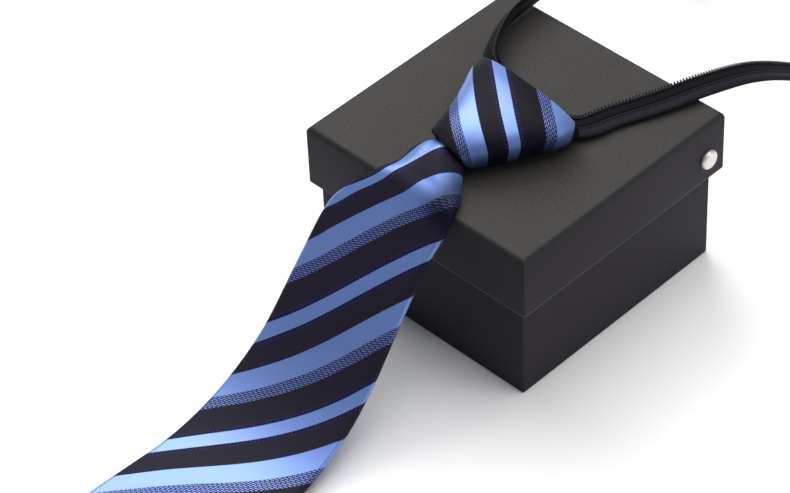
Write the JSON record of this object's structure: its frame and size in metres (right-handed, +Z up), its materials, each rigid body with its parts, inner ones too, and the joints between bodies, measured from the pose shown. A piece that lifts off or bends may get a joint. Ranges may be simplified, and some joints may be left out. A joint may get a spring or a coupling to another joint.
{
  "type": "zipper tie on a gift box",
  "caption": "Ready-tied striped necktie with a zip neck loop, its knot resting on a lidded gift box and its blade running over the edge to the floor",
  "frame": {"origin": "centre of the box's underside, on the floor that the box and the blade's lower half lie on", "axes": "+Z up, the blade hangs over the box's -Y side and runs along the floor towards -Y, the neck loop goes off the +Y side"},
  "size_m": [0.1277, 0.6897, 0.0831],
  "materials": {
    "tie_silk": "satin stripes in light blue on navy black",
    "band_cloth": "smooth folded cloth",
    "zip_tape": "herringbone zip tape",
    "zip_teeth": "satin nylon coil",
    "slider_metal": "black lacquer",
    "box_paper": "textured black paper over board",
    "rivet_metal": "polished"
  },
  "bodies": {
    "root": {"blade": "tie_silk", "knot": "tie_silk", "neck_band": "band_cloth", "zip_tape": "zip_tape", "zip_teeth": "zip_teeth", "zip_slider": "slider_metal", "box_base": "box_paper", "box_lid": "box_paper", "rivet_right": "rivet_metal", "rivet_left": "rivet_metal"}
  },
  "joints": []
}
